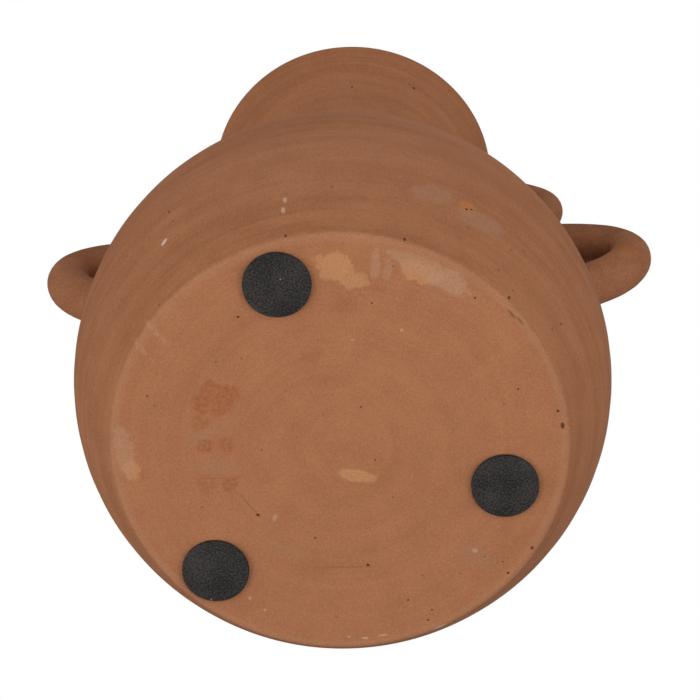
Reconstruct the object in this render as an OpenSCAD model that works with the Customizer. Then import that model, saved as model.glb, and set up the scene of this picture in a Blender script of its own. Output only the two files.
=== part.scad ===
// Amphora: a thrown terracotta jar with a wide flat foot, a round belly, a flared neck,
// two pairs of stacked loop handles and three stick-on foam pads under the foot.
// Millimetres, +Z up, origin on the table under the centre of the foot, handles on the X axis.

/* [Belly] */
// Radius of the round belly
belly_r = 130.5; // [127:0.5:134]
// Height of the belly's widest ring above the foot
belly_z = 74.5; // [70:0.5:78]
// Rounding between the foot and the belly
foot_edge_r = 4; // [3:0.5:8]
// Thickness of the belly wall
belly_wall = 9; // [6:0.5:12]
// Thickness of the floor inside the foot
floor_t = 12; // [8:1:18]
// Rounding between the floor and the wall inside
floor_edge_r = 16; // [8:1:24]

/* [Neck] */
// Smallest outer radius of the neck
waist_r = 52; // [50:0.5:54]
// Height of the neck's smallest ring above the foot
waist_z = 235; // [228:1:242]
// Outer radius of the rim
rim_r = 76.5; // [70:0.5:84]
// Height of the rim's top above the foot
rim_z = 348; // [335:1:360]
// Thickness of the neck wall, rounded over at the rim
neck_wall = 8; // [6:0.5:10]
// Radius of the hollow curve where the neck runs into the shoulder
shoulder_curve_r = 16; // [12:1:18]

/* [Lower handles] */
// Thickness of the lower handles' clay rod
lower_rod_d = 23; // [18:0.5:25]
// Distance from the jar's axis at which a lower handle leaves the belly
lower_root_x = 94; // [91:0.5:97]
// Height above the foot at which a lower handle leaves the belly
lower_root_z = 166; // [162:0.5:168]

/* [Upper handles] */
// Thickness of the upper handles' clay rod
upper_rod_d = 18; // [14:0.5:19]
// Height above the foot at which an upper handle leaves the neck
upper_root_z = 242; // [240:0.5:246]

/* [Foot pads] */
// Diameter of a foam pad
pad_d = 32; // [24:1:36]
// Thickness of a foam pad
pad_t = 2; // [1.5:0.1:4]
// Thickness of the adhesive disc between a pad and the foot
glue_t = 0.2; // [0.1:0.05:0.4]

/* [Hidden] */
$fn = 96;

// Everything thrown or modelled in clay stands on the pads
foot_z = pad_t + glue_t;
// Room that a cutting shape reaches past the shape it cuts
past = 20;

// How far one curve laps over the next, so that the two cross clearly where they meet
lap = 0.05;

// Centre of the belly, in the [radius, height] half-plane
belly_c = [0, belly_z];
// Rounded lip at the top of the neck, which laps over the wall's two faces
half_wall = neck_wall / 2;
lip_r = half_wall + lap;
lip_c = [rim_r - lip_r, rim_z - lip_r];
// Radius of the neck's outer arc: it touches the waist and runs into the lip
lip_out = lip_c[0] - waist_r;
lip_up = lip_c[1] - waist_z;
neck_arc_r = (lip_out^2 + lip_up^2 - half_wall^2) / (2 * (lip_out + half_wall));
neck_c = [waist_r + neck_arc_r, waist_z];
// Centre of the shoulder's hollow curve, which touches the belly and laps into the neck
arcs_apart = norm(neck_c - belly_c);
to_belly = belly_r + shoulder_curve_r;
to_neck = neck_arc_r - shoulder_curve_r + lap;
along = (to_belly^2 - to_neck^2 + arcs_apart^2) / (2 * arcs_apart);
aside = sqrt(to_belly^2 - along^2);
toward_neck = (neck_c - belly_c) / arcs_apart;
curve_c = belly_c + along * toward_neck + aside * [-toward_neck[1], toward_neck[0]];
// Where the hollow curve touches the belly, which is the joint between body and neck
on_belly = belly_c + belly_r / to_belly * (curve_c - belly_c);
joint_z = on_belly[1];
// Where the hollow curve reaches deepest into the neck
in_neck = curve_c + shoulder_curve_r / to_neck * (curve_c - neck_c);
// Inner radius at the joint, which is the throat through the top of the belly
throat_r = neck_c[0] - sqrt((neck_arc_r + neck_wall)^2 - (joint_z - waist_z)^2);

// Each handle's centre line: where it leaves the wall, two guide points that pull it out to its
// tip, and where it comes back to the neck
lower_line = [
    [lower_root_x, lower_root_z],
    [lower_root_x + 59.5, lower_root_z + 10],
    [lower_root_x + 94, lower_root_z + 94],
    [waist_r + 2, lower_root_z + 58]
];
upper_line = [
    [waist_r, upper_root_z],
    [waist_r + 33.5, upper_root_z + 4.5],
    [waist_r + 97.5, upper_root_z + 47.5],
    [waist_r + 8, upper_root_z + 71]
];
// Rings and sides of a handle's form, and how much thicker it is at its roots
rod_rings = 32;
rod_sides = 24;
rod_tail = 12;
root_swell = 0.12;

// Pads as [degrees round the foot, distance from its centre], stuck on by hand
pad_places = [[17, 80], [135, 88], [-106, 87]];

clay = [0.64, 0.42, 0.30];
clay_dark = [0.57, 0.37, 0.26];
foam = [0.13, 0.13, 0.13];
glue = [0.85, 0.83, 0.76];

// Half of a bowl's outline: the belly moved inwards, over a flat floor with a rounded edge
module bowl_outline(inset, floor_h, edge_r) {
    bowl_r = belly_r - inset;
    edge_h = floor_h + edge_r;
    edge_x = sqrt((bowl_r - edge_r)^2 - (belly_z - edge_h)^2) + lap;
    edge_c = [edge_x, edge_h];
    outward = (edge_c - belly_c) / norm(edge_c - belly_c);
    difference() {
        intersection() {
            translate(belly_c) circle(bowl_r);
            translate([0, floor_h]) square([belly_r + past, rim_z]);
        }
        polygon([
            edge_c,
            [edge_x, floor_h - past],
            [edge_x + past, floor_h - past],
            edge_c + (edge_r + past) * outward
        ]);
    }
    translate(edge_c) circle(edge_r);
}

// Half of the neck's outline as a solid: the long arc up to the lip, and the hollow curve at its foot
module neck_outline() {
    over_lip = lip_c + past / norm(lip_c - neck_c) * (lip_c - neck_c);
    difference() {
        polygon([neck_c, over_lip, [0, over_lip[1]], [0, joint_z], [neck_c[0], joint_z]]);
        translate(neck_c) circle(neck_arc_r, $fn = 360);
    }
    difference() {
        polygon([curve_c, in_neck, [0, in_neck[1]], [0, joint_z], on_belly]);
        translate(curve_c) circle(shoulder_curve_r);
    }
}

// Half of the belly's outline as a solid, cut level at the joint
module belly_outline() {
    intersection() {
        bowl_outline(0, 0, foot_edge_r);
        square([belly_r + past, joint_z]);
    }
}

// Point and heading on a smooth line between four guide points
function on_line(g, s) = (1 - s)^3 * g[0] + 3 * (1 - s)^2 * s * g[1] + 3 * (1 - s) * s^2 * g[2] + s^3 * g[3];
function heading(g, s) = (1 - s)^2 * (g[1] - g[0]) + 2 * (1 - s) * s * (g[2] - g[1]) + s^2 * (g[3] - g[2]);
function unit(v) = v / norm(v);

// Radius of a rod of clay, thicker towards its two roots
function rod_r(rod_d, s) = rod_d / 2 * (1 + root_swell * abs(2 * s - 1)^6);

// A rolled rod of clay bent along a line in the XZ plane, with straight ends buried in the wall
module clay_rod(rod_d, line) {
    places = [for (i = [0:rod_rings]) i / rod_rings];
    centres = concat(
        [line[0] - rod_tail * unit(heading(line, 0))],
        [for (s = places) on_line(line, s)],
        [line[3] + rod_tail * unit(heading(line, 1))]
    );
    headings = concat(
        [heading(line, 0)],
        [for (s = places) heading(line, s)],
        [heading(line, 1)]
    );
    radii = concat(
        [rod_r(rod_d, 0)],
        [for (s = places) rod_r(rod_d, s)],
        [rod_r(rod_d, 1)]
    );
    points = [
        for (i = [0:len(centres) - 1])
            for (j = [0:rod_sides - 1])
                let (
                    across = unit([-headings[i][1], headings[i][0]]),
                    turn = 360 * j / rod_sides,
                    place = centres[i] + radii[i] * cos(turn) * across
                )
                [place[0], radii[i] * sin(turn), place[1]]
    ];
    last = len(centres) - 1;
    sides = [
        for (i = [0:last - 1])
            for (j = [0:rod_sides - 1])
                let (k = (j + 1) % rod_sides)
                [i * rod_sides + j, i * rod_sides + k, (i + 1) * rod_sides + k, (i + 1) * rod_sides + j]
    ];
    root_face = [for (j = [rod_sides - 1:-1:0]) j];
    end_face = [for (j = [0:rod_sides - 1]) last * rod_sides + j];
    polyhedron(points = points, faces = concat(sides, [root_face], [end_face]), convexity = 4);
}

// The jar's outer form without its hollow, for trimming the handles to it. It is turned so that
// the seam of the revolved outline lies across from the handle.
module jar_form() {
    rotate(180) {
        rotate_extrude() belly_outline();
        rotate_extrude() neck_outline();
    }
}

module body() {
    color(clay)
    translate([0, 0, foot_z])
    rotate_extrude()
    difference() {
        belly_outline();
        bowl_outline(belly_wall, floor_t, floor_edge_r);
        translate([0, belly_z]) square([throat_r, rim_z]);
    }
}

module neck() {
    color(clay)
    translate([0, 0, foot_z])
    rotate_extrude() {
        intersection() {
            neck_outline();
            translate(neck_c) circle(neck_arc_r + neck_wall, $fn = 360);
        }
        translate(lip_c) circle(lip_r, $fn = 48);
    }
}

// A handle is its rod without what lies inside the jar; side is 1 on the right and -1 on the left
module handle(rod_d, line, side) {
    translate([0, 0, foot_z])
    rotate(side > 0 ? 0 : 180)
    difference() {
        clay_rod(rod_d, line);
        jar_form();
    }
}

module lower_handle(side) {
    color(clay_dark)
    handle(lower_rod_d, lower_line, side);
}

module upper_handle(side) {
    color(clay_dark)
    handle(upper_rod_d, upper_line, side);
}

module at_pad(place) {
    rotate(place[0])
        translate([place[1], 0, 0])
        children();
}

module foot_pad(i) {
    color(foam)
    at_pad(pad_places[i])
    cylinder(d = pad_d, h = pad_t);
}

module pad_adhesive(i) {
    color(glue)
    at_pad(pad_places[i])
    translate([0, 0, pad_t])
    cylinder(d = pad_d, h = glue_t);
}

body();
neck();
lower_handle(1);  // handle_lower_right
lower_handle(-1);  // handle_lower_left
upper_handle(1);  // handle_upper_right
upper_handle(-1);  // handle_upper_left
foot_pad(0);  // foot_pad_1
foot_pad(1);  // foot_pad_2
foot_pad(2);  // foot_pad_3
pad_adhesive(0);  // pad_adhesive_1
pad_adhesive(1);  // pad_adhesive_2
pad_adhesive(2);  // pad_adhesive_3
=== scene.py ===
"""Looks of a hand-thrown terracotta amphora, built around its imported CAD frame.

The jar is unglazed: a thrown body and neck, hand-rolled loop handles and three foam pads under
the foot. Lengths in the classes are millimetres, and meshes are built in metres.
"""

import logging
import math
from dataclasses import dataclass, replace
from enum import Enum
from typing import Callable, Iterable, Sequence

import bmesh
import bpy
from mathutils import Matrix, Vector, noise


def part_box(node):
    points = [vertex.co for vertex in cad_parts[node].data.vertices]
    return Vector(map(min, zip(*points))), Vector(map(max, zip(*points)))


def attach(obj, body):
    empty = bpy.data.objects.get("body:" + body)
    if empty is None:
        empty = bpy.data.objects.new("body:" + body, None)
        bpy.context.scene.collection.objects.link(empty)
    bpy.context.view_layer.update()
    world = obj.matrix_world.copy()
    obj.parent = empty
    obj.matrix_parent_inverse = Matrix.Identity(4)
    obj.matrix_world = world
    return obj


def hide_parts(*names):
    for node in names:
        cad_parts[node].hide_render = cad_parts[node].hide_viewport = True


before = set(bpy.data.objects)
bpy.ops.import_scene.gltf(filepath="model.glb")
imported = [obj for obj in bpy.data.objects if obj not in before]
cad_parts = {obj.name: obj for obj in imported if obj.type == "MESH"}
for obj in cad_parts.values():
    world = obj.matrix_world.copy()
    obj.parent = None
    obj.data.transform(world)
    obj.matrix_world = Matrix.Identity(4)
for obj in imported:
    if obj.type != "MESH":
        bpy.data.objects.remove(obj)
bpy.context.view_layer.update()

LOG = logging.getLogger("amphora")
MM = 0.001
FULL_TURN = 2 * math.pi
# How softly the belly and the neck run into each other, for clay smeared onto the shoulder
SHOULDER_BLEND = 14.0
Point2 = tuple[float, float]


# ------------------------------------------------------------------------------ outlines


def direction(angle: float) -> Point2:
    """Unit vector at an angle in radians, in the (radius, height) half-plane."""
    return math.cos(angle), math.sin(angle)


def arc(centre: Point2, radius: float, start: float, end: float, steps: int) -> list[Point2]:
    """Points along a circular arc.

    Args:
        centre: Centre as (radius, height).
        radius: Radius of the arc.
        start: First angle in radians.
        end: Last angle in radians.
        steps: Number of equal steps.

    Returns:
        steps + 1 points, both ends included.
    """
    angles = [start + (end - start) * i / steps for i in range(steps + 1)]
    return [(centre[0] + radius * math.cos(a), centre[1] + radius * math.sin(a)) for a in angles]


def stretch(start: Point2, end: Point2, steps: int) -> list[Point2]:
    """Points along a straight stretch, both ends included."""
    return [
        (start[0] + (end[0] - start[0]) * i / steps, start[1] + (end[1] - start[1]) * i / steps)
        for i in range(steps + 1)
    ]


def joined(runs: Iterable[Sequence[Point2]], gap: float = 1e-4) -> list[Point2]:
    """One outline from several runs, without the points that two runs share.

    Args:
        runs: The runs, in order along the outline.
        gap: Points nearer to each other than this count as one.

    Returns:
        The outline's points.
    """
    outline: list[Point2] = []
    for run in runs:
        for point in run:
            if not outline or math.dist(outline[-1], point) > gap:
                outline.append(point)
    return outline


def smooth_least(a: float, b: float, blend: float) -> float:
    """The smaller of two distances, with a rounded change from one to the other."""
    share = max(0.0, min(1.0, 0.5 + 0.5 * (b - a) / blend))
    return b * (1 - share) + a * share - blend * share * (1 - share)


def fade(value: float, start: float, end: float) -> float:
    """0 at start, 1 at end, and a smooth curve between them."""
    share = max(0.0, min(1.0, (value - start) / (end - start)))
    return share * share * (3 - 2 * share)


@dataclass
class JarForm:
    """The jar's form as arcs in the (radius, height) half-plane, in millimetres above the table."""

    foot_z: float
    belly_r: float
    joint_z: float
    rim_r: float
    rim_z: float
    belly_up: float = 74.5
    foot_edge_r: float = 4.0
    belly_wall: float = 9.0
    floor_t: float = 12.0
    floor_edge_r: float = 16.0
    waist_r: float = 52.0
    waist_up: float = 235.0
    neck_wall: float = 8.0
    shoulder_curve_r: float = 16.0

    @classmethod
    def from_frame(cls) -> "JarForm":
        """Reads the form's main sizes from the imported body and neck.

        Returns:
            The form.
        """
        body_low, body_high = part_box("body")
        neck_low, neck_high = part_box("neck")
        return cls(
            foot_z=body_low.z / MM,
            belly_r=body_high.x / MM,
            joint_z=body_high.z / MM,
            rim_r=neck_high.x / MM,
            rim_z=neck_high.z / MM,
        )

    def __post_init__(self) -> None:
        """Works out the arcs' centres from the sizes."""
        self.belly_c = (0.0, self.foot_z + self.belly_up)
        self.lip_r = self.neck_wall / 2
        self.lip_c = (self.rim_r - self.lip_r, self.rim_z - self.lip_r)
        waist_z = self.foot_z + self.waist_up
        out, up = self.lip_c[0] - self.waist_r, self.lip_c[1] - waist_z
        self.neck_arc_r = (out**2 + up**2 - self.lip_r**2) / (2 * (out + self.lip_r))
        self.neck_c = (self.waist_r + self.neck_arc_r, waist_z)
        apart = math.dist(self.neck_c, self.belly_c)
        to_belly = self.belly_r + self.shoulder_curve_r
        to_neck = self.neck_arc_r - self.shoulder_curve_r
        along = (to_belly**2 - to_neck**2 + apart**2) / (2 * apart)
        aside = math.sqrt(to_belly**2 - along**2)
        ux = (self.neck_c[0] - self.belly_c[0]) / apart
        uz = (self.neck_c[1] - self.belly_c[1]) / apart
        self.curve_c = (
            self.belly_c[0] + along * ux - aside * uz,
            self.belly_c[1] + along * uz + aside * ux,
        )
        drop = self.joint_z - waist_z
        self.throat_r = self.neck_c[0] - math.sqrt((self.neck_arc_r + self.neck_wall) ** 2 - drop**2)

    def angle_from(self, centre: Point2, point: Point2) -> float:
        """Angle of a point seen from a centre, in radians from 0 to a full turn."""
        return math.atan2(point[1] - centre[1], point[0] - centre[0]) % FULL_TURN

    def body_outline(self) -> list[Point2]:
        """Outline of the thrown body, from the middle of the foot round to the middle of the floor.

        Returns:
            The outline's points, in millimetres.
        """
        edge_up = self.foot_edge_r
        edge_x = math.sqrt((self.belly_r - edge_up) ** 2 - (self.belly_up - edge_up) ** 2)
        edge_c = (edge_x, self.foot_z + edge_up)
        edge_end = self.angle_from(self.belly_c, edge_c) - FULL_TURN
        joint_angle = self.angle_from(self.belly_c, self.curve_c)
        out, up = direction(joint_angle)
        joint = (self.belly_r * out, self.belly_c[1] + self.belly_r * up)
        inner_r = self.belly_r - self.belly_wall
        throat_turn = math.acos(self.throat_r / inner_r)
        floor_up = self.floor_t + self.floor_edge_r
        floor_x = math.sqrt((inner_r - self.floor_edge_r) ** 2 - (self.belly_up - floor_up) ** 2)
        floor_c = (floor_x, self.foot_z + floor_up)
        floor_turn = self.angle_from(self.belly_c, floor_c) - FULL_TURN
        floor_z = self.foot_z + self.floor_t
        return joined(
            [
                stretch((0, self.foot_z), (edge_x, self.foot_z), 44),
                arc(edge_c, edge_up, -math.pi / 2, edge_end, 7),
                arc(self.belly_c, self.belly_r, edge_end, joint_angle, 96),
                stretch(joint, (self.throat_r, joint[1]), 3),
                arc(self.belly_c, inner_r, throat_turn, floor_turn, 44),
                arc(floor_c, self.floor_edge_r, floor_turn, -math.pi / 2, 6),
                stretch((floor_x, floor_z), (0, floor_z), 12),
            ]
        )

    def neck_outline(self) -> list[Point2]:
        """Closed outline of the thrown neck, from its outer foot up over the lip and down inside.

        Returns:
            The outline's points, in millimetres, with the first one repeated at the end.
        """
        on_belly = self.angle_from(self.curve_c, self.belly_c)
        on_neck = self.angle_from(self.neck_c, self.curve_c)
        lip_angle = self.angle_from(self.neck_c, self.lip_c)
        inner_r = self.neck_arc_r + self.neck_wall
        foot_turn = math.pi + math.asin((self.neck_c[1] - self.joint_z) / inner_r)
        outline = joined(
            [
                arc(self.curve_c, self.shoulder_curve_r, on_belly, on_neck, 10),
                arc(self.neck_c, self.neck_arc_r, on_neck, lip_angle, 64),
                arc(self.lip_c, self.lip_r, lip_angle - math.pi, lip_angle, 12),
                arc(self.neck_c, inner_r, lip_angle, foot_turn, 56),
            ]
        )
        return outline + [outline[0]]

    def outside(self, place: Vector) -> float:
        """How far a place is outside the jar's outer surface.

        Args:
            place: The place, in metres.

        Returns:
            The distance in millimetres, below 0 inside the surface.
        """
        reach = math.hypot(place.x, place.y) / MM
        height = place.z / MM
        belly = math.dist((reach, height), self.belly_c) - self.belly_r
        neck = self.neck_arc_r - math.dist((reach, height), self.neck_c)
        return smooth_least(belly, neck, SHOULDER_BLEND)

    def away(self, place: Vector) -> Vector:
        """Which way leads straight away from the jar's outer surface.

        Args:
            place: The place, in metres.

        Returns:
            A unit vector.
        """
        step = 0.0005
        here = self.outside(place)
        slope = [
            self.outside(place + Vector(axis) * step) - here
            for axis in ((1, 0, 0), (0, 1, 0), (0, 0, 1))
        ]
        return Vector(slope).normalized()


# ------------------------------------------------------------------------------ mesh helpers


def finished_object(
    name: str, mesh_work: bmesh.types.BMesh, finish: bpy.types.Material, body: str
) -> bpy.types.Object:
    """Turns mesh work into a smooth, dressed object that rides on a body.

    Args:
        name: Name of the piece.
        mesh_work: The finished bmesh, which is freed here.
        finish: Its material.
        body: The body that it rides on.

    Returns:
        The linked object, at the origin.
    """
    mesh = bpy.data.meshes.new(name)
    mesh_work.to_mesh(mesh)
    mesh_work.free()
    mesh.materials.append(finish)
    mesh.polygons.foreach_set("use_smooth", [True] * len(mesh.polygons))
    mesh.update()
    piece = bpy.data.objects.new(name, mesh)
    bpy.context.scene.collection.objects.link(piece)
    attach(piece, body)
    return piece


def thrown_shell(outline: Sequence[Point2], steps: int) -> bmesh.types.BMesh:
    """Turns an outline once round the jar's axis, as a wheel does.

    Args:
        outline: (radius, height) points in millimetres.
        steps: Steps round the axis.

    Returns:
        A bmesh with its poles closed and its faces pointing outwards.
    """
    work = bmesh.new()
    verts = [work.verts.new((r * MM, 0, z * MM)) for r, z in outline]
    edges = [work.edges.new(pair) for pair in zip(verts, verts[1:])]
    bmesh.ops.spin(
        work,
        geom=verts + edges,
        cent=(0, 0, 0),
        axis=(0, 0, 1),
        angle=FULL_TURN,
        steps=steps,
        use_merge=True,
    )
    bmesh.ops.remove_doubles(work, verts=work.verts, dist=2e-5)
    bmesh.ops.recalc_face_normals(work, faces=work.faces)
    return work


# ------------------------------------------------------------------------------ node graphs


class Graph:
    """A short way to write one shader node tree."""

    def __init__(self, tree: bpy.types.NodeTree) -> None:
        """Keeps the tree that the nodes go into."""
        self.tree = tree

    def node(
        self, kind: str, inputs: dict[str | int, object] | None = None, **settings: object
    ) -> bpy.types.Node:
        """Adds a node.

        Args:
            kind: The node's type name.
            inputs: Values or sockets for its inputs, by name or number.
            **settings: Attributes to set on it.

        Returns:
            The new node.
        """
        made = self.tree.nodes.new(kind)
        for name, value in settings.items():
            setattr(made, name, value)
        for key, value in (inputs or {}).items():
            self.feed(made.inputs[key], value)
        return made

    def feed(self, socket: bpy.types.NodeSocket, value: object) -> None:
        """Links a socket into an input, or sets the input's value.

        Args:
            socket: The input.
            value: The socket to link, or the value to set.
        """
        if isinstance(value, bpy.types.NodeSocket):
            self.tree.links.new(value, socket)
        else:
            socket.default_value = value

    def math(self, operation: str, a: object, b: object = 0.0) -> bpy.types.NodeSocket:
        """One math operation on numbers or sockets."""
        return self.node("ShaderNodeMath", {0: a, 1: b}, operation=operation).outputs[0]

    def mean(self, *weighted: tuple[object, float]) -> bpy.types.NodeSocket:
        """The weighted sum of several values.

        Args:
            *weighted: Pairs of a value and its weight.

        Returns:
            The sum.
        """
        parts = [self.math("MULTIPLY", value, weight) for value, weight in weighted]
        total = parts[0]
        for part in parts[1:]:
            total = self.math("ADD", total, part)
        return total

    def noise(
        self, where: bpy.types.NodeSocket, scale: float, detail: float = 2.0, roughness: float = 0.5
    ) -> bpy.types.NodeSocket:
        """Noise from about 0 to 1 at a place."""
        settings = {"Vector": where, "Scale": scale, "Detail": detail, "Roughness": roughness}
        return self.node("ShaderNodeTexNoise", settings).outputs[0]

    def ramp(
        self, value: object, start: object, end: object, low: object = 0.0, high: object = 1.0,
        smooth: bool = True,
    ) -> bpy.types.NodeSocket:
        """Maps a value from one range to another, held at its ends.

        Args:
            value: The value to map.
            start: Where its range begins.
            end: Where its range ends.
            low: The result at the start.
            high: The result at the end.
            smooth: Whether the change is eased at both ends.

        Returns:
            The mapped value.
        """
        kind = "SMOOTHSTEP" if smooth else "LINEAR"
        return self.node(
            "ShaderNodeMapRange",
            {"Value": value, "From Min": start, "From Max": end, "To Min": low, "To Max": high},
            interpolation_type=kind,
        ).outputs[0]

    def blend(self, share: object, a: object, b: object) -> bpy.types.NodeSocket:
        """Mixes two colours.

        Args:
            share: How much of the second colour there is, from 0 to 1.
            a: The first colour.
            b: The second colour.

        Returns:
            The mixed colour.
        """
        made = self.node("ShaderNodeMix", data_type="RGBA")
        self.feed(made.inputs[0], share)
        self.feed(made.inputs[6], a)
        self.feed(made.inputs[7], b)
        return made.outputs[2]

    def tinted(self, colour: object, factor: object) -> bpy.types.NodeSocket:
        """A colour made lighter or darker by a factor."""
        return self.node("ShaderNodeVectorMath", {0: colour, 3: factor}, operation="SCALE").outputs[0]

    def vector(self, x: object, y: object, z: object) -> bpy.types.NodeSocket:
        """A vector from three numbers or sockets."""
        return self.node("ShaderNodeCombineXYZ", {0: x, 1: y, 2: z}).outputs[0]

    def most(self, start: object, masks: Iterable[object]) -> object:
        """The largest of several masks.

        Args:
            start: The mask to begin with.
            masks: The others, each made just before it is compared.

        Returns:
            The running maximum.
        """
        result = start
        for mask in masks:
            result = self.math("MAXIMUM", result, mask)
        return result


def blank_material(name: str) -> tuple[bpy.types.Material, Graph]:
    """Starts a material.

    Args:
        name: The material's name.

    Returns:
        The material without nodes, and the graph that its nodes go into.
    """
    material = bpy.data.materials.new(name)
    material.use_nodes = True
    material.node_tree.nodes.clear()
    return material, Graph(material.node_tree)


@dataclass(frozen=True)
class Port:
    """One input or output of a shader node group."""

    name: str
    kind: str
    value: float | tuple[float, float, float] | None = None


def shader_group(
    name: str, inputs: Sequence[Port], outputs: Sequence[Port], wire: Callable[..., None]
) -> bpy.types.NodeTree:
    """Makes a shader node group.

    Args:
        name: The group's name.
        inputs: Its inputs, with default values.
        outputs: Its outputs.
        wire: Called with the graph, the group's input node and its output node.

    Returns:
        The group's node tree.
    """
    tree = bpy.data.node_groups.new(name, "ShaderNodeTree")
    for port in inputs:
        socket = tree.interface.new_socket(name=port.name, in_out="INPUT", socket_type=port.kind)
        if port.value is not None:
            socket.default_value = port.value
    for port in outputs:
        tree.interface.new_socket(name=port.name, in_out="OUTPUT", socket_type=port.kind)
    graph = Graph(tree)
    wire(graph, graph.node("NodeGroupInput"), graph.node("NodeGroupOutput"))
    return tree


FLOAT = "NodeSocketFloat"
VECTOR = "NodeSocketVector"


class Grouped:
    """The effects that more than one finish uses, each built once."""

    def __init__(self) -> None:
        """Builds the groups."""
        self.grain = shader_group(
            "clay_grain",
            [Port("Place", VECTOR), Port("Size", FLOAT, 0.0012)],
            [
                Port("Shade", FLOAT),
                Port("Speckle", FLOAT),
                Port("Relief", FLOAT),
                Port("Pits", FLOAT),
                Port("Flecks", FLOAT),
                Port("Coarse", FLOAT),
                Port("Flakes", FLOAT),
                Port("Scuffs", FLOAT),
            ],
            self.wire_grain,
        )
        self.lines = shader_group(
            "turning_lines",
            [Port("Place", VECTOR), Port("Across", FLOAT), Port("Spacing", FLOAT, 0.008)],
            [Port("Shade", FLOAT)],
            self.wire_lines,
        )
        self.patch = shader_group(
            "clay_patch",
            [
                Port("Place", VECTOR),
                Port("Coarse", FLOAT, 0.5),
                Port("Flakes", FLOAT, 1.0),
                Port("Centre", VECTOR),
                Port("Turn", VECTOR),
                Port("Half Size", VECTOR, (0.01, 0.01, 0.01)),
                Port("Softness", FLOAT, 0.3),
                Port("Raggedness", FLOAT, 0.3),
                Port("Flaking", FLOAT, 0.0),
            ],
            [Port("Mask", FLOAT)],
            self.wire_patch,
        )

    @staticmethod
    def wire_grain(graph: Graph, given: bpy.types.Node, out: bpy.types.Node) -> None:
        """Fine grain of fired clay: soft mottling, tooth, pinholes and pale flecks.

        Args:
            graph: The group's graph.
            given: The group's input node.
            out: The group's output node.
        """
        place, size = given.outputs["Place"], given.outputs["Size"]
        per_size = graph.math("DIVIDE", 1.0, size)
        scaled = graph.node("ShaderNodeVectorMath", {0: place, 3: per_size}, operation="SCALE").outputs[0]
        fine = graph.noise(scaled, 1.0, 3.0, 0.65)
        cloud = graph.noise(scaled, 0.085, 3.0, 0.55)
        broad = graph.noise(scaled, 0.022, 2.0, 0.5)
        speckle = graph.ramp(graph.noise(scaled, 1.5, 2.0, 0.75), 0.3, 0.7, 0.86, 1.14, smooth=False)
        shade = graph.mean((fine, 0.5), (cloud, 0.3), (broad, 0.2))
        cells = graph.node("ShaderNodeTexVoronoi", {"Vector": scaled, "Scale": 0.2, "Randomness": 1.0})
        near = graph.ramp(cells.outputs["Distance"], 0.05, 0.11, 1.0, 0.0)
        rare = graph.node("ShaderNodeSeparateColor", {0: cells.outputs["Color"]})
        pits = graph.math("MULTIPLY", near, graph.ramp(rare.outputs[0], 0.86, 0.9))
        flecks = graph.math("MULTIPLY", near, graph.ramp(rare.outputs[1], 0.86, 0.92))
        tooth = graph.noise(scaled, 1.6, 2.0, 0.7)
        relief = graph.mean((tooth, 0.5), (pits, -0.9))
        coarse = graph.noise(place, 160.0, 4.0, 0.7)
        flakes = graph.ramp(graph.noise(place, 520.0, 4.0, 0.75), 0.42, 0.56)
        scuffs = graph.ramp(graph.noise(place, 300.0, 5.0, 0.8), 0.56, 0.7)
        for name, socket in (
            ("Shade", shade), ("Speckle", speckle), ("Relief", relief), ("Pits", pits), ("Flecks", flecks),
            ("Coarse", coarse), ("Flakes", flakes), ("Scuffs", scuffs),
        ):
            graph.feed(out.inputs[name], socket)

    @staticmethod
    def wire_lines(graph: Graph, given: bpy.types.Node, out: bpy.types.Node) -> None:
        """Bands and fine lines that a tool or a wet hand leaves while the clay turns.

        Args:
            graph: The group's graph.
            given: The group's input node.
            out: The group's output node.
        """
        place = given.outputs["Place"]
        across = graph.math("DIVIDE", given.outputs["Across"], given.outputs["Spacing"])
        parts = graph.node("ShaderNodeSeparateXYZ", {0: place})
        wander_x = graph.math("MULTIPLY", parts.outputs[0], 9.0)
        wander_y = graph.math("MULTIPLY", parts.outputs[1], 9.0)
        bands = graph.noise(graph.vector(across, wander_x, wander_y), 1.0, 3.0, 0.6)
        quick = graph.math("MULTIPLY", across, 7.0)
        threads = graph.noise(graph.vector(quick, wander_x, wander_y), 1.0, 2.0, 0.6)
        shade = graph.mean((bands, 0.7), (threads, 0.3))
        graph.feed(out.inputs["Shade"], shade)

    @staticmethod
    def wire_patch(graph: Graph, given: bpy.types.Node, out: bpy.types.Node) -> None:
        """A patch of one place on the surface, with a soft and ragged edge.

        Args:
            graph: The group's graph.
            given: The group's input node.
            out: The group's output node.
        """
        place = given.outputs["Place"]
        local = graph.node(
            "ShaderNodeMapping",
            {
                "Vector": place,
                "Location": given.outputs["Centre"],
                "Rotation": given.outputs["Turn"],
                "Scale": given.outputs["Half Size"],
            },
            vector_type="TEXTURE",
        ).outputs[0]
        reach = graph.node("ShaderNodeVectorMath", {0: local}, operation="LENGTH").outputs["Value"]
        coarse = graph.math("SUBTRACT", given.outputs["Coarse"], 0.5)
        ragged = graph.math("MULTIPLY", coarse, given.outputs["Raggedness"])
        reach = graph.math("ADD", reach, graph.math("MULTIPLY", ragged, 2.0))
        inner = graph.math("SUBTRACT", 1.0, given.outputs["Softness"])
        outer = graph.math("ADD", 1.0, given.outputs["Softness"])
        mask = graph.ramp(reach, inner, outer, 1.0, 0.0)
        flakes = graph.math("SUBTRACT", given.outputs["Flakes"], 1.0)
        kept = graph.math("ADD", graph.math("MULTIPLY", given.outputs["Flaking"], flakes), 1.0)
        graph.feed(out.inputs["Mask"], graph.math("MULTIPLY", mask, kept))


# ------------------------------------------------------------------------------ finishes


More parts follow.
